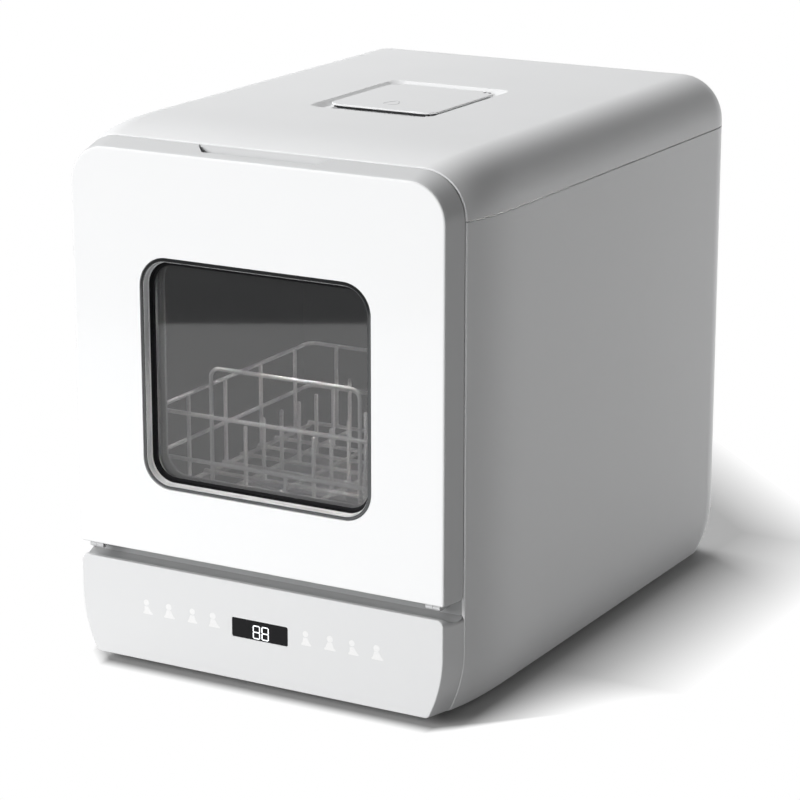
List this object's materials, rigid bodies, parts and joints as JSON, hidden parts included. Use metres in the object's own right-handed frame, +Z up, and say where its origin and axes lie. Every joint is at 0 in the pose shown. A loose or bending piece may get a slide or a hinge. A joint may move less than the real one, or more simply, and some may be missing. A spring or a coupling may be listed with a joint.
{
  "type": "countertop dishwasher",
  "caption": "Compact white countertop dishwasher with a drop-down window door, touch fascia, top water inlet lid, pull-out rack and spray arm.",
  "frame": {"origin": "on the table under the middle of the machine", "axes": "+Z up, -Y towards the door and the user, +X to the right seen from the front"},
  "size_m": [0.36, 0.526, 0.436],
  "materials": {
    "glossy_white": "glossy injection moulded front panel",
    "casing_white": "satin moulded casing",
    "casing_grey": "satin moulded trim",
    "dark_plastic": "dark inner moulding",
    "black_gloss": "black display window",
    "steel": "stainless tub and pins",
    "wire": "nylon coated rack wire",
    "glass": "tinted window pane",
    "rubber": "soft black rubber",
    "board": "printed circuit board",
    "clear_plastic": "translucent moulding"
  },
  "bodies": {
    "housing": {"top_cover": "casing_white", "side_panel_left": "casing_white", "side_panel_right": "casing_white", "rear_cover": "casing_white", "base_tray": "casing_grey", "feet": "rubber", "front_frame": "casing_grey", "control_fascia": "glossy_white", "display_window": "black_gloss", "control_board": "board", "hinge_bracket_left": "casing_grey", "hinge_bracket_right": "casing_grey", "hinge_pins": "steel", "door_gasket": "rubber", "latch_housing": "dark_plastic", "latch_spring": "steel", "door_switch": "dark_plastic", "tub_wrapper": "steel", "tub_back_wall": "steel", "tub_floor": "casing_grey", "sump": "dark_plastic", "filter_plate": "steel", "spray_hub": "casing_grey", "wash_pump": "dark_plastic", "drain_pump": "dark_plastic", "water_heater": "steel", "internal_hoses": "rubber", "drain_port": "dark_plastic", "inlet_port": "casing_grey", "power_gland": "dark_plastic", "water_tank": "clear_plastic", "fill_funnel": "clear_plastic", "lid_pin": "steel", "fan_housing": "dark_plastic", "tub_lamp": "clear_plastic", "rack_rails": "casing_grey", "screws": "steel"},
    "door": {"door_frame": "casing_grey", "door_front_panel": "glossy_white", "window_bezel": "casing_grey", "window_glass": "glass", "inner_glass": "glass", "door_liner": "casing_grey", "door_hinge_arms": "casing_grey", "door_strike": "steel"},
    "rack": {"rack_base": "wire", "rack_front": "wire", "rack_left_wall": "wire", "rack_right_wall": "wire", "rack_back_wall": "wire", "rack_tines": "wire", "rack_glides": "casing_grey"},
    "lid": {"inlet_lid": "casing_white"},
    "sprayer": {"spray_arm": "casing_grey"},
    "filter": {"filter_cup": "casing_grey"},
    "wash_rotor": {"wash_impeller": "casing_grey"},
    "drain_rotor": {"drain_impeller": "casing_grey"},
    "fan": {"fan_rotor": "dark_plastic"},
    "catch": {"latch_plunger": "steel"}
  },
  "joints": [
    {"name": "door_hinge", "type": "hinge", "parent": "housing", "child": "door", "pos_m": [0, -0.256, 0.097], "axis": [1, 0, 0], "range_deg": [0, 90]},
    {"name": "rack_slide", "type": "slide", "parent": "housing", "child": "rack", "axis": [0, -1, 0], "range_m": [0, 0.09]},
    {"name": "lid_hinge", "type": "hinge", "parent": "housing", "child": "lid", "pos_m": [0, 0.0418, 0.4333], "axis": [-1, 0, 0], "range_deg": [0, 92]},
    {"name": "spray_spin", "type": "hinge", "parent": "housing", "child": "sprayer", "pos_m": [0, -0.099, 0.11], "axis": [0, 0, 1], "continuous": true},
    {"name": "filter_twist", "type": "hinge", "parent": "housing", "child": "filter", "pos_m": [0.062, -0.037, 0.098], "axis": [0, 0, 1], "range_deg": [0, 45]},
    {"name": "wash_pump_spin", "type": "hinge", "parent": "housing", "child": "wash_rotor", "pos_m": [-0.052, -0.037, 0.058], "axis": [1, 0, 0], "continuous": true},
    {"name": "drain_pump_spin", "type": "hinge", "parent": "housing", "child": "drain_rotor", "pos_m": [0.085, 0.081, 0.058], "axis": [1, 0, 0], "continuous": true},
    {"name": "fan_spin", "type": "hinge", "parent": "housing", "child": "fan", "pos_m": [0.086, 0.2015, 0.3], "axis": [0, 1, 0], "continuous": true},
    {"name": "catch_slide", "type": "slide", "parent": "housing", "child": "catch", "axis": [0, 0, 1], "range_m": [0, 0.0016], "stiffness_N_per_m": 400, "springref_m": -0.003, "deforming": ["latch_spring"]}
  ],
  "couplings": [
    {"joint": "rack_slide", "follows": "door_hinge", "m_per_rad": 0.0572}
  ]
}
